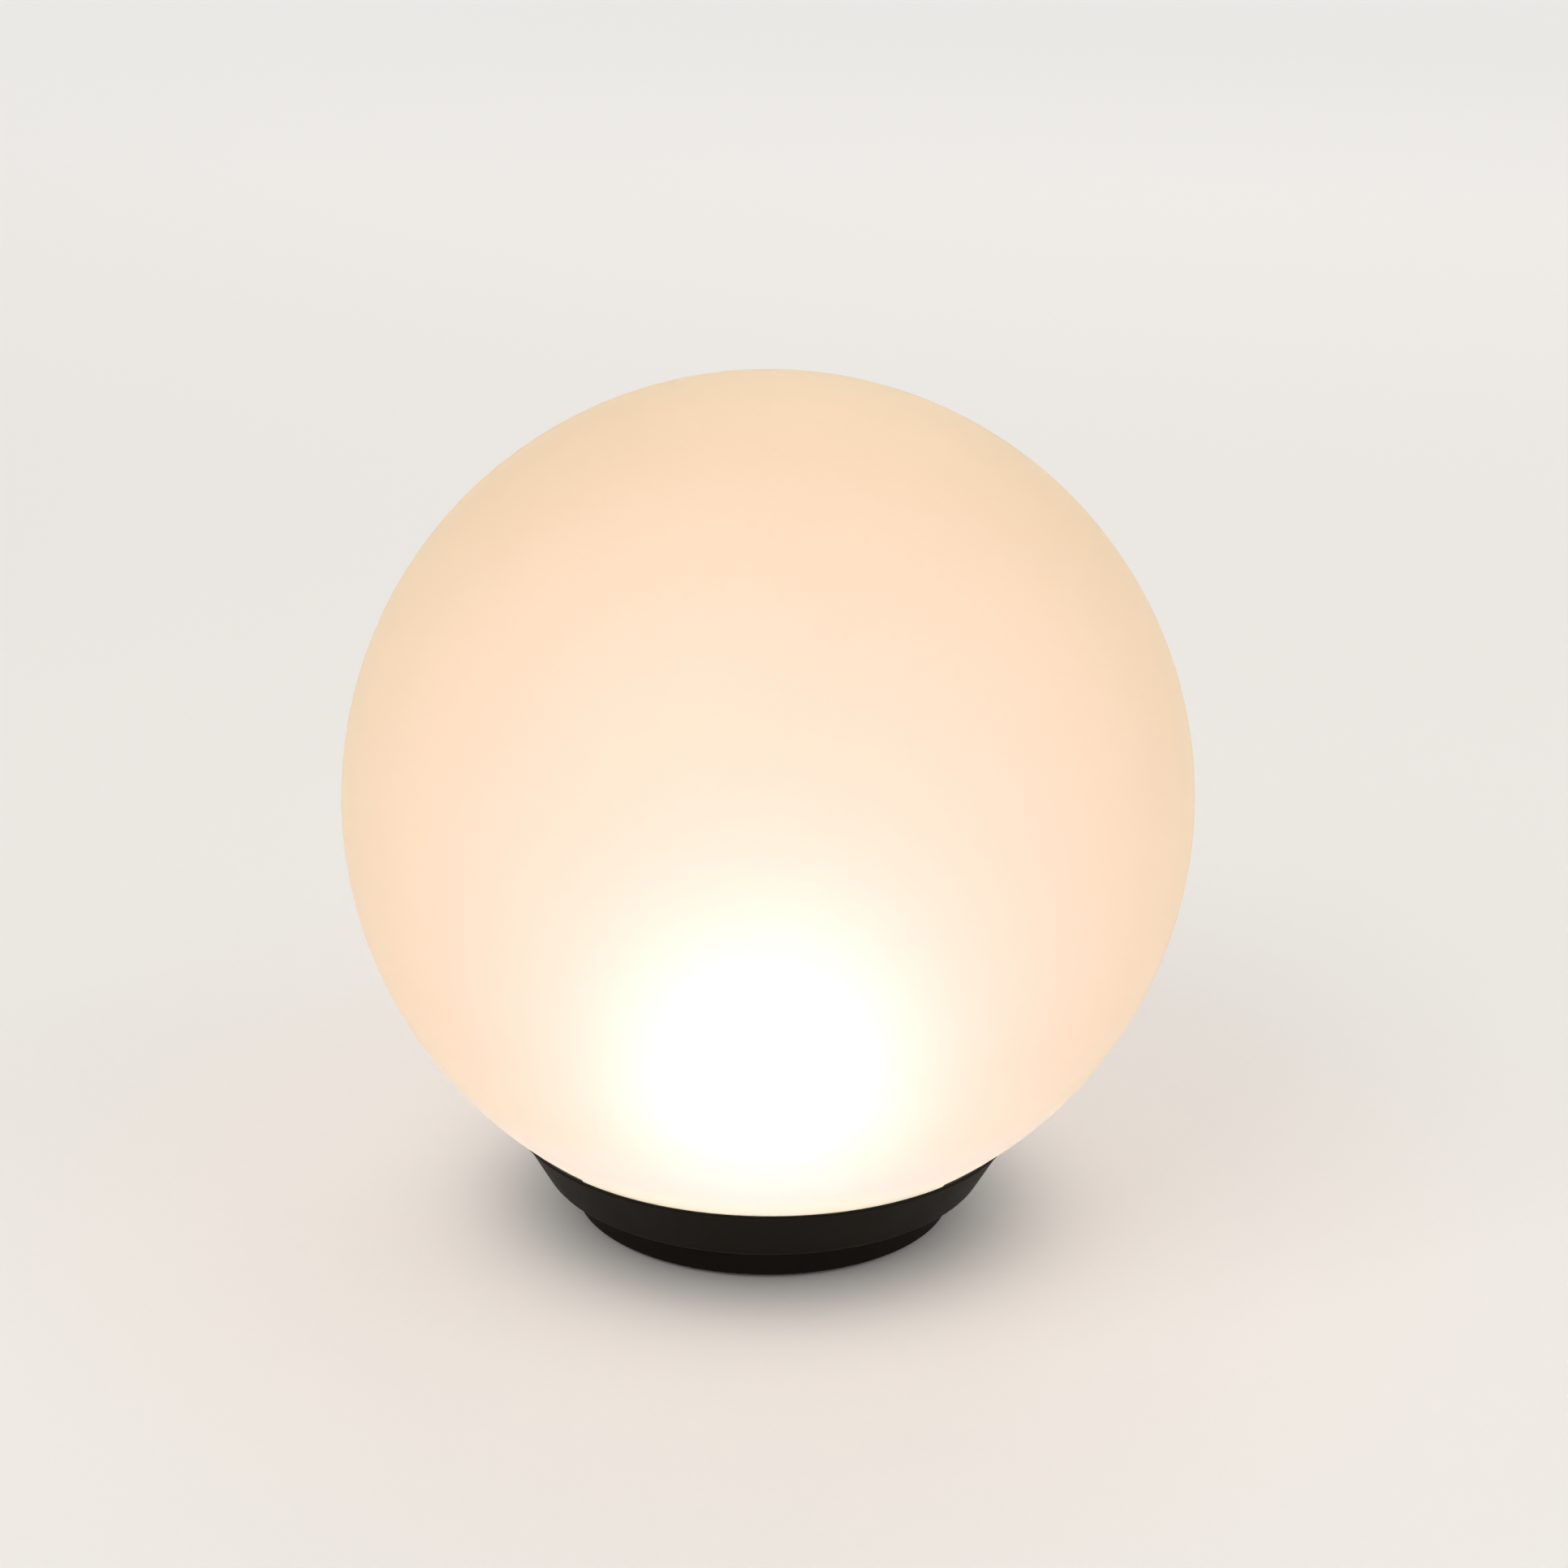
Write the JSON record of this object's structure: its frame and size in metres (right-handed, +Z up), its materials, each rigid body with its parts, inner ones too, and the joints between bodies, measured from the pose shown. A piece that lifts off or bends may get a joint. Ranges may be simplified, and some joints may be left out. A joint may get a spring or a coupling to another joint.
{
  "type": "garden globe light",
  "caption": "Glowing opal globe that twists onto a low black round base with a hidden rechargeable light unit, a port door and a push button.",
  "frame": {"origin": "on the ground, under the middle of the base", "axes": "+Z up, the charge port and power button look along +Y, away from the picture's camera"},
  "size_m": [0.25, 0.25, 0.2545],
  "materials": {
    "opal_plastic": "satin opal, glowing warm white",
    "black_plastic": "fine matt moulded",
    "black_rubber": "matt",
    "steel": "plain stainless",
    "plated_contact": "nickel plated",
    "dark_moulding": "moulded",
    "switch_pin": "moulded",
    "cell_wrap": "shrink sleeve",
    "lead_cover": "sleeved lead",
    "circuit_board": "lacquered glass laminate",
    "capacitor_can": "plain can",
    "white_nylon": "moulded",
    "white_reflector": "matt white",
    "bare_aluminium": "bare sheet",
    "white_board": "white lacquer",
    "led_phosphor": "lit warm white phosphor",
    "frosted_dome": "frosted translucent"
  },
  "bodies": {
    "base": {"base_housing": "black_plastic", "bottom_cover": "black_plastic", "vent_plug": "black_plastic", "globe_gasket": "black_rubber", "cover_gasket": "black_rubber", "rubber_feet": "black_rubber", "lead_grommet": "black_rubber", "door_hinge_pin": "steel", "cover_screws": "steel", "tray_screws": "steel", "board_screws": "steel", "holder_screws": "steel", "led_screws": "steel", "charge_socket": "steel", "battery_contacts": "plated_contact", "switch_body": "dark_moulding", "charge_tongue": "dark_moulding", "board_chips": "dark_moulding", "board_inductor": "dark_moulding", "battery_holder": "dark_moulding", "battery_cell": "cell_wrap", "battery_lead": "lead_cover", "led_lead": "lead_cover", "control_board": "circuit_board", "board_capacitors": "capacitor_can", "board_connectors": "white_nylon", "reflector_tray": "white_reflector", "led_spreader": "bare_aluminium", "led_board": "white_board", "led_chips": "led_phosphor", "led_dome": "frosted_dome"},
    "globe": {"globe": "opal_plastic"},
    "charge_door": {"charge_door": "black_plastic", "door_seal": "black_rubber"},
    "power_button": {"power_button": "black_plastic", "switch_plunger": "switch_pin"}
  },
  "joints": [
    {"name": "globe_twist", "type": "hinge", "parent": "base", "child": "globe", "pos_m": [0, 0, 0.015], "axis": [0, 0, 1], "range_deg": [0, 22]},
    {"name": "power_button_press", "type": "slide", "parent": "base", "child": "power_button", "axis": [0, -1, 0], "range_m": [0, 0.0012], "stiffness_N_per_m": 500, "springref_m": -0.001},
    {"name": "charge_door_swing", "type": "hinge", "parent": "base", "child": "charge_door", "pos_m": [0.0172, 0.052, 0.0088], "axis": [0, 0, -1], "range_deg": [0, 110]}
  ]
}
